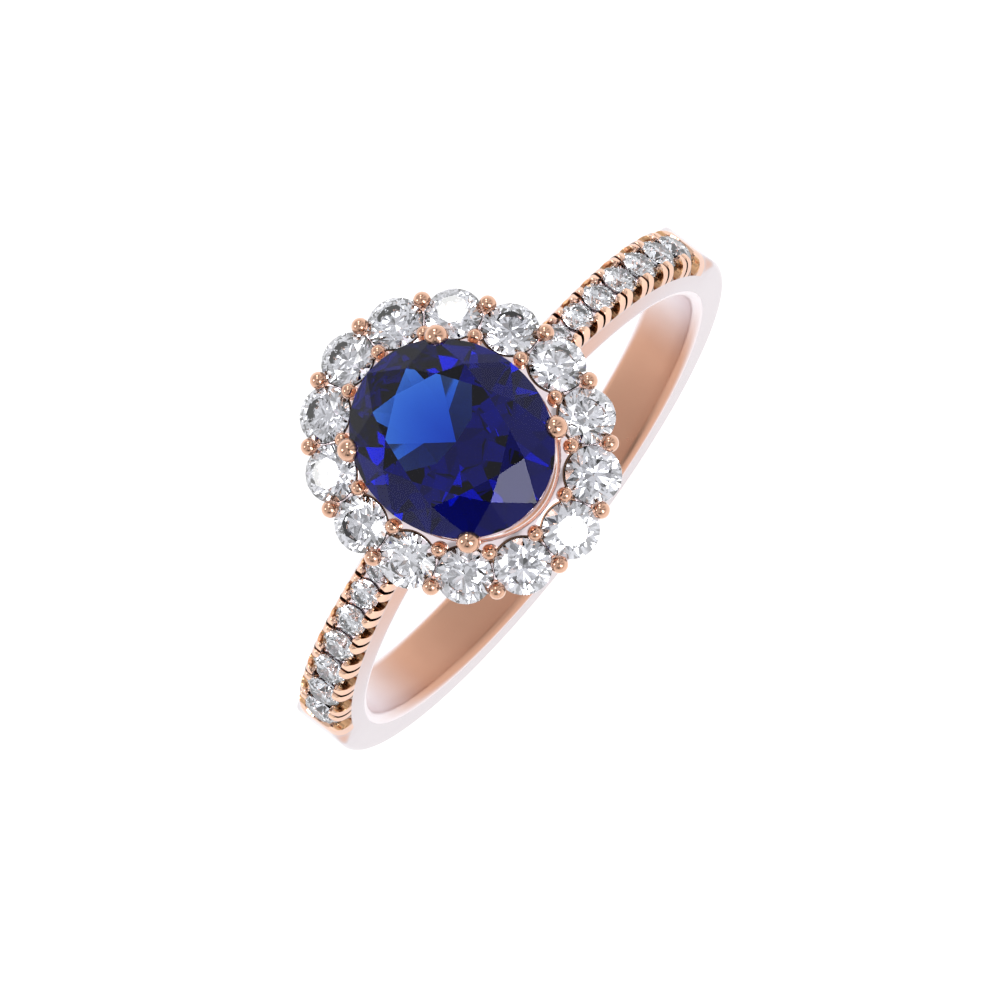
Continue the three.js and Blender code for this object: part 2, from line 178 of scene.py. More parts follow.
def polished_gold(name, colour, painted_glance_tone, roughness, grain, shade_depths=None):
    """Polished rose gold with a painted sheen, a second tone painted where the surface is seen at a glance,
    with uneven polish and fine polishing lines.

    deep is the pair of distances for darkened().
    """
    material, nodes, links, shader = node_material(name)
    shader.inputs["Metallic"].default_value = 1.0
    where = nodes.new("ShaderNodeTexCoord")

    drift = nodes.new("ShaderNodeTexNoise")
    drift.inputs["Scale"].default_value = 260.0
    drift.inputs["Detail"].default_value = 3.0
    links.new(where.outputs["Object"], drift.inputs["Vector"])
    tone = nodes.new("ShaderNodeValToRGB")
    tone.color_ramp.elements[0].color = (*[c * 0.96 for c in colour], 1)
    tone.color_ramp.elements[1].color = (*[min(1.0, c * 1.03) for c in colour], 1)
    links.new(drift.outputs["Fac"], tone.inputs["Fac"])
    # Painted sheen where the glance tone is paler, painted shade where it is darker: the base colour turns to
    # it as the surface is seen edge-on.
    facing = nodes.new("ShaderNodeLayerWeight")
    facing.inputs["Blend"].default_value = 0.5
    pale = nodes.new("ShaderNodeMapRange")
    pale.interpolation_type = "SMOOTHSTEP"
    pale.inputs["From Min"].default_value = PAINTED_GLANCE_FACING[0]
    pale.inputs["From Max"].default_value = PAINTED_GLANCE_FACING[1]
    links.new(facing.outputs["Facing"], pale.inputs["Value"])
    blend = nodes.new("ShaderNodeMix")
    blend.data_type = "RGBA"
    blend.inputs["B"].default_value = (*painted_glance_tone, 1)
    links.new(pale.outputs["Result"], blend.inputs["Factor"])
    links.new(tone.outputs["Color"], blend.inputs["A"])
    finished = blend.outputs["Result"]
    # Painted shade deeper in the hollows, where it is asked for.
    if shade_depths:
        finished = with_painted_depth_shade(nodes, links, where, finished, shade_depths)
    links.new(finished, shader.inputs["Base Color"])

    polish = nodes.new("ShaderNodeTexNoise")
    polish.inputs["Scale"].default_value = 900.0
    polish.inputs["Detail"].default_value = 4.0
    links.new(where.outputs["Object"], polish.inputs["Vector"])
    spread = nodes.new("ShaderNodeMapRange")
    spread.inputs["To Min"].default_value = roughness * 0.7
    spread.inputs["To Max"].default_value = roughness * 1.4
    links.new(polish.outputs["Fac"], spread.inputs["Value"])
    links.new(spread.outputs["Result"], shader.inputs["Roughness"])

    lines = nodes.new("ShaderNodeTexNoise")
    lines.inputs["Scale"].default_value = 4000.0
    lines.inputs["Detail"].default_value = 2.0
    links.new(where.outputs["Object"], lines.inputs["Vector"])
    bump = nodes.new("ShaderNodeBump")
    bump.inputs["Strength"].default_value = grain
    bump.inputs["Distance"].default_value = 0.00001
    links.new(lines.outputs["Fac"], bump.inputs["Height"])
    links.new(bump.outputs["Normal"], shader.inputs["Normal"])
    return material


def gem(name, light, dark, ior, scale, sheen, absorb=None, density=0.0):
    """Clear cut stone with soft growth zoning between its light and dark tones.

    sheen tints the surface's reflections; absorb and density colour what passes through the stone.
    """
    material, nodes, links, shader = node_material(name)
    shader.inputs["Roughness"].default_value = 0.0
    shader.inputs["IOR"].default_value = ior
    shader.inputs["Transmission Weight"].default_value = 1.0
    shader.inputs["Specular Tint"].default_value = (*sheen, 1)
    where = nodes.new("ShaderNodeTexCoord")
    zoning = nodes.new("ShaderNodeTexNoise")
    zoning.inputs["Scale"].default_value = scale
    zoning.inputs["Detail"].default_value = 1.0
    links.new(where.outputs["Object"], zoning.inputs["Vector"])
    tone = nodes.new("ShaderNodeValToRGB")
    tone.color_ramp.elements[0].color = (*light, 1)
    tone.color_ramp.elements[1].color = (*dark, 1)
    links.new(zoning.outputs["Fac"], tone.inputs["Fac"])
    links.new(tone.outputs["Color"], shader.inputs["Base Color"])
    if absorb:
        inside = nodes.new("ShaderNodeVolumeAbsorption")
        inside.inputs["Color"].default_value = (*absorb, 1)
        inside.inputs["Density"].default_value = density
        links.new(inside.outputs["Volume"], nodes["Material Output"].inputs["Volume"])
    return material


GOLD = polished_gold("rose_gold_polished", (0.68, 0.385, 0.27), (0.63, 0.575, 0.61), 0.15, 0.05)
# Painted shade: a darker copy of the gold inside the band, with a paler glance tone and a satin polish.
SHADED_BORE_GOLD = polished_gold("rose_gold_bore_painted_shade", (0.61, 0.34, 0.235), (0.86, 0.79, 0.82), 0.32, 0.05)
# Painted light: a lighter copy of the gold on the prong tops of the shoulders.
LIT_SHOULDER_GOLD = polished_gold("rose_gold_shoulders_painted_light", (0.95, 0.62, 0.46), (0.76, 0.48, 0.37), 0.08, 0.05)
# Painted shade: near-black gold in the slots between prongs, on a strip beside each prong pair and on the
# halo seats' steps.
PAINTED_SHADE_GOLD = polished_gold("rose_gold_painted_shade", (0.16, 0.09, 0.06), (0.12, 0.07, 0.05), 0.25, 0.1)
# Painted shade and warm reflection: a deeper orange copy of the gold in the scallops, darker still towards
# the ring's axis.
SHADED_SCALLOP_GOLD = polished_gold("rose_gold_scallops_painted_shade", (0.95, 0.55, 0.30), (0.80, 0.42, 0.24), 0.10, 0.1,
                             shade_depths=(9.3, 9.75))
# Painted reflection: a pale pink copy of the gold on the halo's seat plate and the channel floor.
PALE_REFLECTION_PLATE_GOLD = polished_gold("rose_gold_plate_painted_reflection", (1.0, 0.86, 0.90), (0.92, 0.78, 0.80), 0.10, 0.05)
BEAD_GOLD = polished_gold("rose_gold_beads", (0.70, 0.42, 0.30), (0.88, 0.60, 0.46), 0.06, 0.05)
SAPPHIRE = gem("sapphire_blue", (0.45, 0.72, 1.0), (0.35, 0.60, 1.0), 1.77, 300.0,
               (0.31, 0.31, 0.38), (0.0, 0.38, 0.80), 1500.0)
SMALL_DIAMOND = gem("diamond_clear_small", (0.93, 0.95, 1.0), (0.87, 0.90, 1.0), 2.42, 900.0,
                    (0.95, 0.97, 1.0))
DIAMOND = gem("diamond_clear", (0.945, 0.955, 1.0), (0.87, 0.885, 1.0), 2.42, 900.0, (1.0, 1.0, 1.0))

# ---------------------------------------------------------------- making pieces


def new_piece(name, mesh, material, nodes, crease=None):
    """A finished piece: its material, its shading, its body and the CAD nodes that it stands for."""
    piece = bpy.data.objects.new(name, mesh)
    bpy.context.scene.collection.objects.link(piece)
    mesh.materials.clear()
    mesh.materials.append(material)
    if crease is None:
        mesh.shade_flat()
    else:
        mesh.shade_smooth()
        mesh.set_sharp_from_angle(angle=math.radians(crease))
    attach(piece, "root")
    if nodes:
        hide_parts(*nodes)
    return piece


def mesh_from(name, points, faces):
    """A mesh from millimetre points, its faces turned outwards."""
    mesh = bpy.data.meshes.new(name)
    mesh.from_pydata([tuple(c * MM for c in point) for point in points], [], faces)
    work = bmesh.new()
    work.from_mesh(mesh)
    bmesh.ops.recalc_face_normals(work, faces=work.faces)
    work.to_mesh(mesh)
    work.free()
    return mesh


def looped_grid(name, rows):
    """A closed ring-shaped mesh from equally long rows of points, each row a closed section."""
    count = len(rows[0])
    faces = []
    for i in range(len(rows)):
        after = (i + 1) % len(rows)
        for j in range(count):
            side = (j + 1) % count
            faces.append((i * count + j, after * count + j, after * count + side, i * count + side))
    return mesh_from(name, [point for row in rows for point in row], faces)


def turned(name, profile, segments=48):
    """A closed mesh from a [radius, height] profile turned about Z, with its ends on the axis."""
    points = [(0.0, 0.0, profile[0][1])]
    for radius, height in profile[1:-1]:
        for k in range(segments):
            angle = 2 * math.pi * k / segments
            points.append((radius * math.cos(angle), radius * math.sin(angle), height))
    points.append((0.0, 0.0, profile[-1][1]))
    rings = len(profile) - 2
    faces = []
    for k in range(segments):
        after = (k + 1) % segments
        faces.append((0, 1 + after, 1 + k))
        for r in range(rings - 1):
            low, high = 1 + r * segments, 1 + (r + 1) * segments
            faces.append((low + k, low + after, high + after, high + k))
        top = 1 + (rings - 1) * segments
        faces.append((top + k, top + after, len(points) - 1))
    return mesh_from(name, points, faces)


def place_matrix(position, direction):
    """Moves a mesh drawn along +Z to a millimetre position, its Z along a direction."""
    turn = Vector((0, 0, 1)).rotation_difference(Vector(direction)).to_matrix().to_4x4()
    return Matrix.Translation(Vector(position) * MM) @ turn


def joined(name, parts):
    """One mesh from several (mesh, matrix) pairs."""
    work = bmesh.new()
    for mesh, matrix in parts:
        part = mesh.copy()
        part.transform(matrix)
        work.from_mesh(part)
        bpy.data.meshes.remove(part)
    mesh = bpy.data.meshes.new(name)
    work.to_mesh(mesh)
    work.free()
    return mesh


def combine(name, base, others, operation):
    """base joined with, or cut by, each of the other meshes."""
    scene = bpy.context.scene.collection.objects
    body = bpy.data.objects.new(name, base)
    scene.link(body)
    helpers = []
    for mesh in others:
        helper = bpy.data.objects.new("helper", mesh)
        scene.link(helper)
        helpers.append(helper)
        modifier = body.modifiers.new("combine", "BOOLEAN")
        modifier.operation = operation
        modifier.solver = "MANIFOLD"
        modifier.object = helper
    bpy.context.view_layer.update()
    result = bpy.data.meshes.new_from_object(body.evaluated_get(bpy.context.evaluated_depsgraph_get()))
    result.name = name
    for thing in [body, *helpers]:
        bpy.data.objects.remove(thing)
    return result


# ---------------------------------------------------------------- shank


def prong_angle(k):
    return FIRST_PRONGS + FIRST_PITCH * (PITCH_GROWTH**k - 1) / (PITCH_GROWTH - 1)


PRONG_ANGLES = [prong_angle(k) for k in range(STONES_PER_SHOULDER + 1)]
LAST_PRONGS = PRONG_ANGLES[-1]
CHANNEL_END = LAST_PRONGS - math.degrees(PRONG_HALF / BAND_RADIUS)


def wall_half_width(degrees, radius):
    """Half width of the shank at an angle from the top and a distance from the ring's axis."""
    bore = lerp(TOP_HALF_WIDTH, BAND_HALF_WIDTH, share(degrees, *NARROWING))
    rise = share(radius, BORE_RADIUS + BORE_ROUNDING, BAND_RADIUS)
    return bore * (1 - WALL_LEAN * (1 - share(degrees, *LEANING)) * rise)


def channel_half_width(degrees):
    return lerp(*CHANNEL_HALF, share(degrees, CHANNEL_START, CHANNEL_END))


def nearest_prongs(degrees):
    """(angle of the nearest prong pair, signed distance from it along the band)."""
    nearest = min(PRONG_ANGLES, key=lambda angle: abs(angle - degrees))
    return nearest, math.radians(degrees - nearest) * STONE_RING


def scallops(degrees):
    """(distance along the band from the nearest stone's centre, half the scallop's width, stone radius)."""
    for k in range(STONES_PER_SHOULDER):
        before, after = PRONG_ANGLES[k], PRONG_ANGLES[k + 1]
        if before <= degrees <= after:
            room = math.radians(after - before) * STONE_RING
            away = math.radians(degrees - (before + after) / 2) * STONE_RING
            stone = min(room - 0.1, SHOULDER_STONE + SHOULDER_STONE_GROWTH * k) / 2
            return away, room / 2 - PRONG_HALF, stone
    return None


def ceiling(degrees, y):
    """Highest radius that the metal reaches at a place on the shank."""
    top = BAND_RADIUS + 1.0
    if degrees < SADDLE_END:
        top = SADDLE_Z / math.cos(math.radians(degrees))
    nearest, offset = nearest_prongs(degrees)
    along = abs(offset)
    split = nearest < LAST_PRONGS
    if along < PRONG_HALF and degrees > FIRST_PRONGS - PRONG_LEAD and (degrees < LAST_PRONGS or split):
        middle = (SLOT_HALF + PRONG_HALF) / 2 if split else 0.0
        half = (PRONG_HALF - SLOT_HALF) / 2 if split else PRONG_HALF
        across = min(1.0, abs(along - middle) / half)
        top = min(top, BAND_RADIUS - PRONG_CROWN * (1 - math.sqrt(1 - across * across)))
        if split and along <= SLOT_HALF and abs(y) > channel_half_width(degrees) + 0.02:
            top = min(top, SLOT_FLOOR)
    near = scallops(degrees)
    if near:
        away, half, stone = near
        if abs(away) < half:
            top = min(top, SCALLOP_FLOOR + half - math.sqrt(half * half - away * away))
        out = math.hypot(away, y)
        if out < stone:
            top = min(top, STONE_RING - SEAT_DROP - SEAT_SLOPE * (stone - out))
    return top


def half_section(degrees):
    """(y, radius) points from the middle of the bore over the side wall to the middle of the top."""
    width = wall_half_width(degrees, BORE_RADIUS + BORE_ROUNDING)
    corner = BORE_ROUNDING * width / BAND_HALF_WIDTH
    points = [(0.0, BORE_RADIUS), ((width - corner) * 0.5, BORE_RADIUS)]
    for k in range(9):
        angle = math.pi / 2 * k / 8
        points.append((width - corner + corner * math.sin(angle),
                       BORE_RADIUS + BORE_ROUNDING * (1 - math.cos(angle))))

    # plain passes from 0 on the stone-set shoulder to 1 on the plain band.
    plain = share(degrees, LAST_PRONGS + 0.5, LAST_PRONGS + 5.0)
    plain = plain * plain * (3 - 2 * plain)
    start = lerp(SCALLOP_FLOOR, BAND_RADIUS - RIM_ROUNDING, plain)
    outer = wall_half_width(degrees, start)
    inner = lerp(channel_half_width(degrees) + 0.06,
                 wall_half_width(degrees, BAND_RADIUS) - RIM_ROUNDING, plain)
    in_channel = CHANNEL_START < degrees < CHANNEL_END
    floor = CHANNEL_FLOOR if in_channel else BAND_RADIUS
    for k in range(1, 8):
        radius = lerp(BORE_RADIUS + BORE_ROUNDING, start, k / 8)
        points.append((wall_half_width(degrees, radius), radius))
    for k in range(13):
        angle = math.pi / 2 * k / 12
        points.append((inner + (outer - inner) * math.cos(angle),
                       start + (BAND_RADIUS - start) * math.sin(angle)))
    tip = 0.06 * (1 - plain)
    for k in range(1, 5):
        angle = math.pi / 2 * k / 4
        drop = tip * (1 - math.cos(angle)) if in_channel else 0.0
        points.append((inner - tip * math.sin(angle), BAND_RADIUS - drop))
    for k in range(9):
        points.append(((inner - tip) * (1 - k / 8), floor))
    return points


def shank_row(degrees):
    """One closed section of the shank at a signed angle, as ring-frame points."""
    size = abs(degrees)
    half = half_section(size)
    section = []
    for y, radius in half:
        top = ceiling(size, y)
        section.append((y, soft_min(radius, top, 0.03) if radius > BORE_RADIUS + 0.5 else radius))
    mirrored = [(-y, radius) for y, radius in reversed(section[1:-1])]
    angle = math.radians(degrees)
    return [(radius * math.sin(angle), y, radius * math.cos(angle)) for y, radius in section + mirrored]


def shank_angles():
    """Angles of the shank's sections, close together where prongs and scallops need them."""
    angles = {float(a) for a in range(0, 24, 2)} | {24.0}
    offsets = [0.0, 0.03, 0.038, 0.046, 0.06, 0.1, 0.14, 0.18, 0.215, 0.25, 0.29, 0.33, 0.355, 0.37, 0.378]
    for angle in PRONG_ANGLES:
        for offset in offsets:
            for side in (-1, 1):
                angles.add(angle + side * math.degrees(offset / STONE_RING))
    for k in range(STONES_PER_SHOULDER):
        before, after = PRONG_ANGLES[k], PRONG_ANGLES[k + 1]
        half = math.radians(after - before) * STONE_RING / 2 - PRONG_HALF
        for part in (0, 0.2, 0.4, 0.6, 0.76, 0.88, 0.96, 0.995):
            for side in (-1, 1):
                angles.add((before + after) / 2 + side * math.degrees(part * half / STONE_RING))
    for nudge in (-0.15, -0.03, 0.03, 0.15):
        angles.add(CHANNEL_START + nudge)
        angles.add(CHANNEL_END + nudge)
    angle = LAST_PRONGS + 2.6
    while angle < 90:
        angles.add(angle)
        angle += 0.75
    angles |= {float(a) for a in range(90, 181, 2)}
    right = sorted(angles)
    left = [-a for a in reversed(right) if 0 < a < 180]
    return left + right


# Order of the shank's materials on its mesh. All but the first carry painted light or shade.
PLAIN, PRONGS, SCALLOPS, PAINTED_SHADE_LINES, BORE, CHANNEL = range(6)


def shank_finish(degrees, radius, y):
    """Which of the shank's materials is on a face, from where its middle is."""
    if radius < BORE_RADIUS + BORE_ROUNDING + 0.02:
        return BORE
    if radius < SCALLOP_FLOOR or not FIRST_PRONGS - PRONG_LEAD < degrees < LAST_PRONGS + 1.0:
        return PLAIN
    if abs(y) < CHANNEL_HALF[0] and radius < CHANNEL_FLOOR + 0.03:
        return CHANNEL
    nearest, along = nearest_prongs(degrees)
    # Painted shade: the slot between each prong pair takes the dark gold.
    if abs(along) < SLOT_HALF + 0.02 and nearest < LAST_PRONGS and radius < BAND_RADIUS - 0.03:
        return PAINTED_SHADE_LINES
    if abs(along) < PRONG_HALF - 0.01:
        return PRONGS
    near = scallops(degrees)
    # Painted shade: a narrow strip of scallop beside each prong pair takes the dark gold.
    if near and near[0] < 0.2 * near[1] and PRONG_HALF - 0.01 <= along < PRONG_HALF + 0.09:
        return PAINTED_SHADE_LINES
    return SCALLOPS


def make_shank():
    mesh = looped_grid("shank_body", [shank_row(a) for a in shank_angles()])
    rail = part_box("base_rail")[1]
    hole = turned("hole", [(0, 0), (1, 0), (1, BAND_RADIUS), (0, BAND_RADIUS)], 96)
    hole.transform(Matrix.Diagonal((rail[0] / MM + SET_GAP, rail[1] / MM + SET_GAP, 1, 1)))
    mesh = combine("shank_body", mesh, [hole], "DIFFERENCE")
    new_piece("shank_body", mesh, GOLD, ["shank"], crease=40)
    for material in (LIT_SHOULDER_GOLD, SHADED_SCALLOP_GOLD, PAINTED_SHADE_GOLD, SHADED_BORE_GOLD, PALE_REFLECTION_PLATE_GOLD):
        mesh.materials.append(material)
    for polygon in mesh.polygons:
        centre = polygon.center / MM
        degrees = abs(math.degrees(math.atan2(centre.x, centre.z)))
        polygon.material_index = shank_finish(degrees, math.hypot(centre.x, centre.z), centre.y)


make_shank()

# ---------------------------------------------------------------- stones


def brilliant(name, semi, table, crown, girdle, pavilion, star=0.75, lower=0.24, turn=0.0, twist=0):
    """A 57-facet brilliant about its girdle's middle, its kites starting at the turn angle.

    table, star and lower are shares of the girdle's size where the table, the star facets and the lower
    girdle facets end. twist is how many girdle corners the pavilion's main facets stand round from the kites.
    """
    eighth = math.pi / 4

    def ring(ratio, height, count, start):
        return [(semi[0] * ratio * math.cos(start + 2 * math.pi * k / count),
                 semi[1] * ratio * math.sin(start + 2 * math.pi * k / count), height) for k in range(count)]

    edge = girdle / 2
    star_drop = (1 - star * math.cos(eighth / 2)) / (1 - table)
    main_rise = 1 - lower * math.cos(eighth / 2)
    points = (
        ring(table, edge + crown, 8, turn)
        + ring(star, edge + crown * star_drop, 8, turn + eighth / 2)
        + ring(1.0, edge, 16, turn)
        + ring(1.0, -edge, 16, turn)
        + ring(lower, -edge - pavilion * main_rise, 8, turn + (1 + twist) * eighth / 2)
        + [(0.0, 0.0, -edge - pavilion)]
    )
    # First index of the table, star, upper girdle, lower girdle and main corners, and the culet.
    t, s, g, b, m, culet = 0, 8, 16, 32, 48, 56
    faces = [tuple(range(t, t + 8))]
    for k in range(8):
        n, p = (k + 1) % 8, (k - 1) % 8
        faces.append((t + k, s + k, t + n))
        faces.append((t + k, s + p, g + 2 * k, s + k))
        faces.append((b + (2 * k + twist) % 16, m + p, culet, m + k))
    for k in range(16):
        after = (k + 1) % 16
        star_point, main_point = s + k // 2, m + (k - twist) % 16 // 2
        upper = scalloped(points, semi, (g + k, g + after), star_point)
        lower_edge = scalloped(points, semi, (b + k, b + after), main_point)
        faces.append((star_point, *upper))
        faces.append((main_point, *reversed(lower_edge)))
        for step in range(len(upper) - 1):
            faces.append((upper[step], lower_edge[step], lower_edge[step + 1], upper[step + 1]))
    return mesh_from(name, points, faces)


GIRDLE_ROUNDNESS = 0.9  # 0 is a straight edge between the girdle's corners, 1 the true oval


def scalloped(points, semi, ends, tip):
    """Follows the round girdle from one corner to the next in the plane of the facet that ends at tip.

    Adds the points between the corners and returns the indices of the whole edge.
    """
    start, end, far = [Vector(points[index]) for index in (*ends, tip)]
    normal = (end - start).cross(far - start)
    edge = [ends[0]]
    for step in (0.25, 0.5, 0.75):
        chord = start.lerp(end, step)
        reach = math.hypot(chord.x / semi[0], chord.y / semi[1])
        out = lerp(1, 1 / reach, GIRDLE_ROUNDNESS)
        x, y = chord.x * out, chord.y * out
        z = start.z - (normal.x * (x - start.x) + normal.y * (y - start.y)) / normal.z
        edge.append(len(points))
        points.append((x, y, z))
    return [*edge, ends[1]]


# Shares of a round stone's diameter.
ROUND_TABLE = 0.56
ROUND_CROWN = 0.15
ROUND_GIRDLE = 0.03
ROUND_PAVILION = 0.43
ROUND_TURN = 0.7  # radians from each stone's facets to the next one's


def stone_place(node):
    """(girdle centre, axis, diameter) of a round CAD stone, in millimetres, from its own corners."""
    mesh = frame["nodes"][node].data
    touching = {}
    for polygon in mesh.polygons:
        for v in polygon.vertices:
            key = tuple(round(c / MM, 3) for c in mesh.vertices[v].co)
            touching[key] = touching.get(key, 0) + 1
    # Most faces meet at the culet.
    culet = Vector(max(touching, key=touching.get))
    centre = sum((Vector(key) for key in touching), Vector()) / len(touching)
    axis = (centre - culet).normalized()
    radius = max((Vector(key) - culet - axis * (Vector(key) - culet).dot(axis)).length for key in touching)
    diameter = 2 * radius
    return culet + axis * diameter * (ROUND_PAVILION + ROUND_GIRDLE / 2), axis, diameter


def make_round_stones():
    names = [n for n in frame["nodes"] if "diamond" in n]
    for index, node in enumerate(sorted(names)):
        centre, axis, diameter = stone_place(node)
        mesh = brilliant(node + "_cut", (diameter / 2, diameter / 2), ROUND_TABLE, ROUND_CROWN * diameter,
                         ROUND_GIRDLE * diameter, ROUND_PAVILION * diameter, turn=index * ROUND_TURN)
        mesh.transform(place_matrix(centre, axis))
        new_piece(node + "_cut", mesh, SMALL_DIAMOND if "shoulder" in node else DIAMOND, [node])


SAPPHIRE_TABLE = 0.61
SAPPHIRE_LOWER = 0.3
SAPPHIRE_CROWN = 0.85
SAPPHIRE_GIRDLE = 0.1


def make_sapphire():
    low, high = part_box("center_sapphire")
    semi = [(high[k] - low[k]) / 2 / MM for k in (0, 1)]
    pavilion = (high[2] - low[2]) / MM - SAPPHIRE_CROWN - SAPPHIRE_GIRDLE
    mesh = brilliant("sapphire_cut", semi, SAPPHIRE_TABLE, SAPPHIRE_CROWN, SAPPHIRE_GIRDLE, pavilion,
                     lower=SAPPHIRE_LOWER, turn=math.pi / 2, twist=1)
    mesh.transform(Matrix.Translation((0, 0, high[2] - (SAPPHIRE_CROWN + SAPPHIRE_GIRDLE / 2) * MM)))
    new_piece("sapphire_cut", mesh, SAPPHIRE, ["center_sapphire"])


make_round_stones()
make_sapphire()

# ---------------------------------------------------------------- head


def halo_table():
    """(length walked, angle) at small steps round the halo's ellipse from +Y, and its whole length."""
    steps = 2880
    walk = []
    total = 0.0
    before = None
    for k in range(steps + 1):
        angle = math.pi / 2 + 2 * math.pi * k / steps
        point = (HALO_SEMI[0] * math.cos(angle), HALO_SEMI[1] * math.sin(angle))
        if before:
            total += math.dist(before, point)
        walk.append((total, angle))
        before = point
    return walk, total


HALO_WALK, HALO_LENGTH = halo_table()


def halo_place(part, offset, z):
    """(position, leaning axis) at a share of the way round the halo, offset outwards from its ellipse."""
    target = (part % 1.0) * HALO_LENGTH
    low, high = 0, len(HALO_WALK) - 1
    while high - low > 1:
        middle = (low + high) // 2
        if HALO_WALK[middle][0] <= target:
            low = middle
        else:
            high = middle
    (s0, a0), (s1, a1) = HALO_WALK[low], HALO_WALK[high]
    angle = lerp(a0, a1, (target - s0) / (s1 - s0))
    out = Vector((HALO_SEMI[1] * math.cos(angle), HALO_SEMI[0] * math.sin(angle), 0)).normalized()
    point = Vector((HALO_SEMI[0] * math.cos(angle), HALO_SEMI[1] * math.sin(angle), z)) + out * offset
    axis = out * math.sin(HALO_TILT) + Vector((0, 0, math.cos(HALO_TILT)))
    return point, axis


def arc(radius, centre, start, end, steps):
    """Points of an arc as (radius, height) pairs, angles in degrees."""
    angles = [math.radians(lerp(start, end, k / steps)) for k in range(steps + 1)]
    return [(centre[0] + radius * math.cos(a), centre[1] + radius * math.sin(a)) for a in angles]


def halo_plate_section(part):
    """One closed section of the halo's seat plate: a leaning strip with rounded edges."""
    along = abs((part * HALO_COUNT + 0.5) % 1.0 - 0.5) * HALO_LENGTH / HALO_COUNT
    # The outer edge is scalloped round the stones, and holds a strip of metal between them.
    reach = math.sqrt(max(0.0, 0.95**2 - along * along))
    outer = max(0.16, reach - 0.12)
    inner = -1.14
    thick = 0.5
    edge = 0.05
    flat = [
        *arc(edge, (outer - edge, -edge), 90, 0, 3),
        *arc(edge, (outer - edge - 0.12, -thick + edge), 0, -90, 3),
        *arc(edge, (inner + edge, -thick + edge), -90, -180, 3),
        *arc(edge, (inner + edge, -edge), 180, 90, 3),
    ]
    row = []
    for t, height in flat:
        base, axis = halo_place(part, 0.0, HALO_GIRDLE_Z)
        outward = Vector((axis.x, axis.y, 0)).normalized()
        slope = outward * math.cos(HALO_TILT) - Vector((0, 0, math.sin(HALO_TILT)))
        row.append(base + slope * t + axis * (height + 0.03))
    return row


def make_halo_frame():
    steps = HALO_COUNT * 24
    plate = looped_grid("plate", [halo_plate_section(k / steps) for k in range(steps)])
    cup = turned("cup", [
        (0, -0.56), *arc(0.05, (0.55, -0.51), -90, -40, 3), *arc(0.03, (0.875, -0.08), -40, 60, 4),
        (0.86, -0.04), (0, -0.04)], 64)
    seat = turned("seat", [
        (0, -0.87), (HALO_RADIUS * 0.06, -0.81), (HALO_RADIUS - 0.02, -0.055), (HALO_RADIUS + 0.03, -0.03),
        (HALO_RADIUS + 0.10, -0.03), (HALO_RADIUS + 0.105, 0.4), (0, 0.4)], 64)
    cups, seats, places = [], [], []
    for k in range(HALO_COUNT):
        position, axis = halo_place(k / HALO_COUNT, 0.0, HALO_GIRDLE_Z)
        matrix = place_matrix(position, axis)
        places.append((position, axis))
        for source, into in ((cup, cups), (seat, seats)):
            copy = source.copy()
            copy.transform(matrix)
            into.append(copy)
    body = combine("halo_seats", plate, cups, "UNION")
    body = combine("halo_seats", body, seats, "DIFFERENCE")
    # The seat plate takes the pale copy of the gold, a painted reflection.
    new_piece("halo_seats", body, PALE_REFLECTION_PLATE_GOLD, ["halo_frame"], crease=30)
    body.materials.append(PAINTED_SHADE_GOLD)
    # Painted shade: the step round each seat is dark on the side nearest the centre stone, in place of the
    # shadow there.
    for polygon in body.polygons:
        for position, axis in places:
            away = polygon.center / MM - position
            height = away.dot(axis)
            reach = (away - axis * height).length
            inwards = -away.dot(Vector((axis.x, axis.y, 0)).normalized())
            on_step = HALO_RADIUS < reach < HALO_RADIUS + 0.12 and -0.06 < height < 0.0
            if on_step and inwards > 0.45 * reach:
                polygon.material_index = 1


def bead_mesh(radius, post):
    """A round bead on its post, centred on the bead."""
    neck = radius * 0.72
    profile = [(0, -post), (neck * 1.15, -post), (neck, -post * 0.75), (neck * 0.96, -radius * 0.72)]
    start = -math.degrees(math.acos(0.74))
    profile += arc(radius, (0, 0), start, 84, 12)
    profile.append((0, radius))
    return turned("bead", profile, 32)


def make_beads():
    outer = bead_mesh(OUTER_BEAD["radius"], OUTER_BEAD["post"])
    inner = bead_mesh(INNER_BEAD["radius"], INNER_BEAD["post"])
    parts = []
    for k in range(HALO_COUNT):
        for bead, mesh in ((OUTER_BEAD, outer), (INNER_BEAD, inner)):
            position, axis = halo_place((k + 0.5) / HALO_COUNT, bead["offset"], bead["z"])
            parts.append((mesh, place_matrix(position, axis)))
    new_piece("halo_bead_claws", joined("halo_bead_claws", parts), BEAD_GOLD, [], crease=50)


def oval_wall(name, section, steps=160):
    """A closed oval ring whose section's points are (x semi, y semi, z)."""
    rows = []
    for k in range(steps):
        angle = 2 * math.pi * k / steps
        rows.append([(x * math.cos(angle), y * math.sin(angle), z) for x, y, z in section])
    return looped_grid(name, rows)


def wall_section(outer, inner, low, high, edge):
    """Section of an oval wall between two pairs of semi-axes, with its edges rounded."""
    section = []
    for semi, side, z, start in ((outer, -edge, high - edge, 90), (outer, -edge, low + edge, 0),
                                 (inner, edge, low + edge, -90), (inner, edge, high - edge, -180)):
        for out, up in arc(edge, (side, z), start, start - 90, 4):
            section.append((semi[0] + out, semi[1] + out, up))
    return section


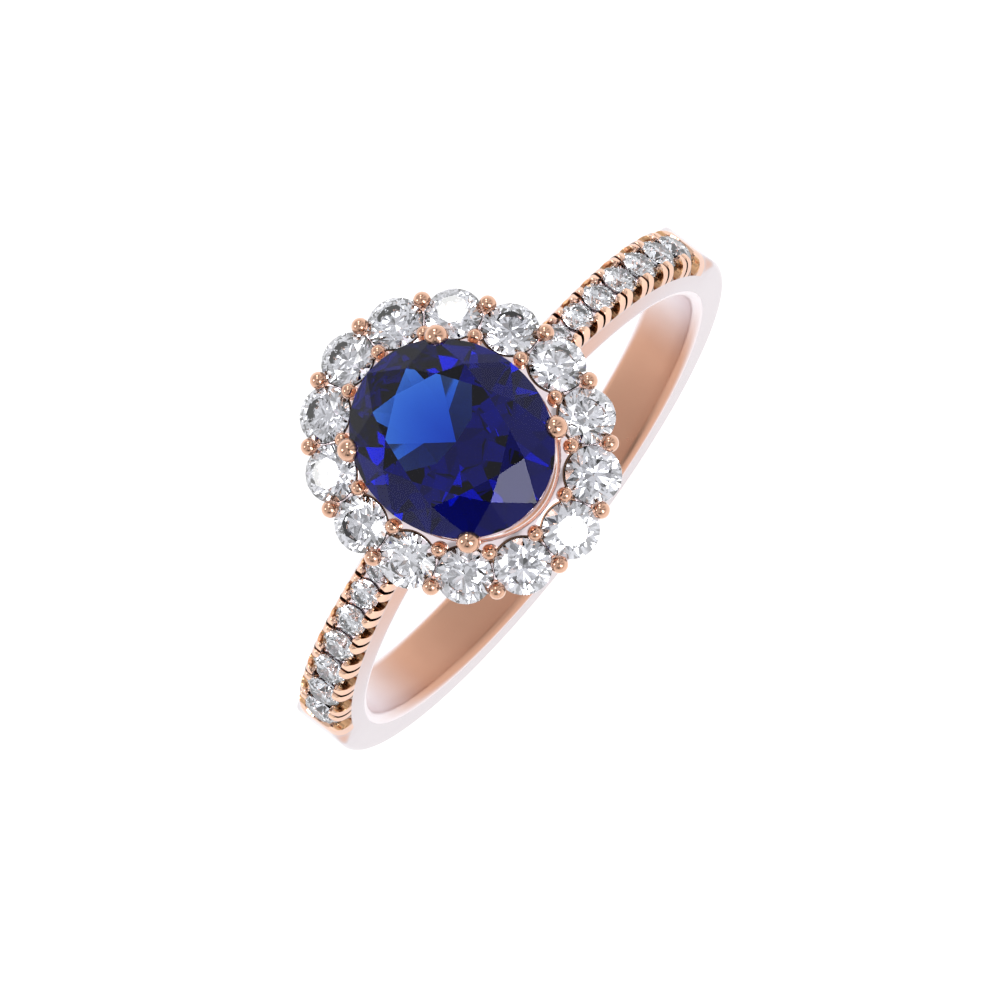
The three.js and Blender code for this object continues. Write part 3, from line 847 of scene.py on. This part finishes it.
def make_collet():
    low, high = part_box("center_collet")
    outer = (high[0] / MM, high[1] / MM)
    bottom, top = low[2] / MM, high[2] / MM
    inner_top = (outer[0] - 0.12, outer[1] - 0.12)
    inner_low = (outer[0] - 0.55, outer[1] - 0.6)
    section = [
        (outer[0] - 0.06, outer[1] - 0.06, top),
        (outer[0] - 0.015, outer[1] - 0.015, top - 0.015),
        (outer[0], outer[1], top - 0.06),
        (outer[0] - 0.02, outer[1] - 0.02, lerp(bottom, top, 0.5)),
        (outer[0] - 0.02, outer[1] - 0.02, bottom + 0.12),
        (outer[0] - 0.01, outer[1] - 0.01, bottom + 0.03),
        (outer[0] - 0.04, outer[1] - 0.04, bottom),
        (inner_low[0], inner_low[1], bottom),
        (inner_low[0], inner_low[1], bottom + 0.1),
        (inner_top[0] - 0.02, inner_top[1] - 0.02, top - 0.03),
        (inner_top[0], inner_top[1], top),
    ]
    mesh = oval_wall("collet_wall", section)
    new_piece("collet_wall", mesh, GOLD, ["center_collet"], crease=40)


def make_base_rail():
    low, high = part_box("base_rail")
    outer = (high[0] / MM, high[1] / MM)
    inner = (outer[0] - 0.42, outer[1] - 0.42)
    section = wall_section(outer, inner, low[2] / MM, high[2] / MM, 0.1)
    mesh = oval_wall("base_rail_ring", section, 96)
    new_piece("base_rail_ring", mesh, GOLD, ["base_rail"], crease=60)


CLAW_BALL = 0.39
CLAW_WIRE = 0.27
CLAW_TIP = Vector((2.27, 2.43, 11.79))
CLAW_FOOT = Vector((1.36, 1.45, 9.8))


def make_claws():
    for node in (n for n in frame["nodes"] if n.startswith("claw_")):
        low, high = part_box(node)
        side = Vector((math.copysign(1, low[0] + high[0]), math.copysign(1, low[1] + high[1]), 1))
        foot = Vector([a * b for a, b in zip(CLAW_FOOT, side)])
        tip = Vector([a * b for a, b in zip(CLAW_TIP, side)])
        direction = (tip - foot).normalized()
        length = (tip - foot).length
        profile = [(0, 0.12), (CLAW_WIRE * 0.8, 0.12), (CLAW_WIRE * 0.98, 0.2), (CLAW_WIRE, 0.5)]
        for width, below in ((0.9, 1.3), (0.92, 0.95)):
            profile.append((CLAW_WIRE * width, length - CLAW_BALL * below))
        profile += arc(CLAW_BALL, (0, length), -48, 84, 16)
        profile.append((0, length + CLAW_BALL))
        mesh = turned(node + "_wire", profile, 40)
        mesh.transform(place_matrix(foot, direction))
        new_piece(node + "_wire", mesh, BEAD_GOLD, [node], crease=50)


make_halo_frame()
make_beads()
make_collet()
make_base_rail()
make_claws()

# ---------------------------------------------------------------- floor, light and camera


FLOOR_HALF = 1500.0


def make_floor():
    low = CAD_BOUNDS[0][2] / MM
    corners = [(x * FLOOR_HALF, y * FLOOR_HALF, low) for x, y in ((-1, -1), (1, -1), (1, 1), (-1, 1))]
    mesh = mesh_from("floor", corners, [(0, 1, 2, 3)])
    floor = bpy.data.objects.new("floor", mesh)
    bpy.context.scene.collection.objects.link(floor)
    material, _, _, shader = node_material("pale_floor")
    shader.inputs["Base Color"].default_value = (0.4, 0.4, 0.4, 1)
    shader.inputs["Roughness"].default_value = 0.6
    shader.inputs["Emission Color"].default_value = (1.0, 1.0, 1.0, 1)
    shader.inputs["Emission Strength"].default_value = 0.75
    mesh.materials.append(material)


def direction(tilt, azimuth):
    """A unit vector tilted from +Z, towards an azimuth counted from +X to +Y, both in degrees."""
    tilt, azimuth = math.radians(tilt), math.radians(azimuth)
    return Vector((math.sin(tilt) * math.cos(azimuth), math.sin(tilt) * math.sin(azimuth), math.cos(tilt)))


# The studio's tent, and the soft discs in it, each over the ones before:
# (tilt, azimuth, radius, softness, light), with the first four in degrees.
TENT_LIGHT = {"below": 1.05, "horizon": 1.05, "top": 0.85}
TENT_SEAMS = {"count": 9, "phase": math.pi, "share": 0.35, "from": 0.3, "light": 0.42}  # from is a height
TENT_DISCS = [
    (46, 90, 34, 12, 0.64),
    (56, -149, 11, 3, 0.1),
    (6, -90, 9, 4, 0.15),
    (49, -90, 11, 2, 6.5),
    (34, -90, 9, 3, 5.0),
    (56, 52, 8, 2, 5.0),
    (57, 132, 8, 2, 5.0),
    (27, 60, 8, 2, 3.5),
]


def make_world():
    """Studio tent: bright towards the horizon, with dark seams and patches and bright soft lamps.

    The camera's own rays see plain white in its place, as a pale backdrop.
    """
    world = bpy.data.worlds.new("studio")
    bpy.context.scene.world = world
    world.use_nodes = True
    nodes, links = world.node_tree.nodes, world.node_tree.links
    where = nodes.new("ShaderNodeTexCoord")
    split = nodes.new("ShaderNodeSeparateXYZ")
    links.new(where.outputs["Generated"], split.inputs["Vector"])

    def ranged(source, low, high, start, end):
        node = nodes.new("ShaderNodeMapRange")
        node.interpolation_type = "SMOOTHSTEP"
        for key, value in (("From Min", low), ("From Max", high), ("To Min", start), ("To Max", end)):
            node.inputs[key].default_value = value
        links.new(source, node.inputs["Value"])
        return node.outputs["Result"]

    def math_node(operation, first, second):
        node = nodes.new("ShaderNodeMath")
        node.operation = operation
        for socket, value in zip(node.inputs, (first, second)):
            if isinstance(value, float):
                socket.default_value = value
            else:
                links.new(value, socket)
        return node.outputs["Value"]

    def mixed(share_socket, first, value):
        """The first light where the share is 0, and the plain value where it is 1."""
        mix = nodes.new("ShaderNodeMix")
        mix.data_type = "FLOAT"
        links.new(share_socket, mix.inputs["Factor"])
        links.new(first, mix.inputs["A"])
        mix.inputs["B"].default_value = value
        return mix.outputs["Result"]

    def seamed(light):
        """The tent's cloth with its dark seams running up from the horizon."""
        azimuth = math_node("ARCTAN2", split.outputs["Y"], split.outputs["X"])
        turns = math_node("MULTIPLY", azimuth, float(TENT_SEAMS["count"]))
        wave = math_node("SINE", math_node("ADD", turns, TENT_SEAMS["phase"]), 0.0)
        edge = math.cos(math.pi * TENT_SEAMS["share"])
        low = TENT_SEAMS["from"]
        seam = math_node("MULTIPLY", ranged(wave, edge - 0.15, edge + 0.15, 0.0, 1.0),
                         ranged(split.outputs["Z"], low, low + 0.1, 0.0, 1.0))
        kept = math_node("SUBTRACT", 1.0, math_node("MULTIPLY", seam, 1.0 - TENT_SEAMS["light"]))
        return math_node("MULTIPLY", light, kept)

    lower = ranged(split.outputs["Z"], -0.1, 0.05, TENT_LIGHT["below"], TENT_LIGHT["horizon"])
    upper = ranged(split.outputs["Z"], 0.0, 0.45, TENT_LIGHT["horizon"], TENT_LIGHT["top"])
    light = seamed(math_node("MINIMUM", lower, upper))
    for tilt, azimuth, radius, soft, value in TENT_DISCS:
        dot = nodes.new("ShaderNodeVectorMath")
        dot.operation = "DOT_PRODUCT"
        dot.inputs[1].default_value = direction(tilt, azimuth)
        links.new(where.outputs["Generated"], dot.inputs[0])
        rim = [math.cos(math.radians(radius + side * soft)) for side in (1, -1)]
        mask = ranged(dot.outputs["Value"], rim[0], rim[1], 0.0, 1.0)
        light = mixed(mask, light, value)
    light = mixed(nodes.new("ShaderNodeLightPath").outputs["Is Camera Ray"], light, 1.0)
    background = nodes["Background"]
    background.inputs["Color"].default_value = (1.0, 1.0, 1.0, 1)
    links.new(light, background.inputs["Strength"])


def make_camera():
    data = bpy.data.cameras.new("camera")
    data.lens = 360
    data.sensor_width = 36
    data.clip_start = 0.01
    data.clip_end = 10
    camera = bpy.data.objects.new("camera", data)
    bpy.context.scene.collection.objects.link(camera)
    right = Vector((0.6089, -0.7781, -0.1539))
    up = Vector((0.7931, 0.5942, 0.1336))
    back = right.cross(up)
    matrix = Matrix((right, up, back)).transposed().to_4x4()
    matrix.translation = Vector((-4.5738, -66.6973, 321.1076)) * MM
    camera.matrix_world = matrix
    bpy.context.scene.camera = camera


make_floor()
make_world()
make_camera()
bpy.context.scene.view_settings.view_transform = "Standard"
bpy.context.scene.view_settings.exposure = 0.0
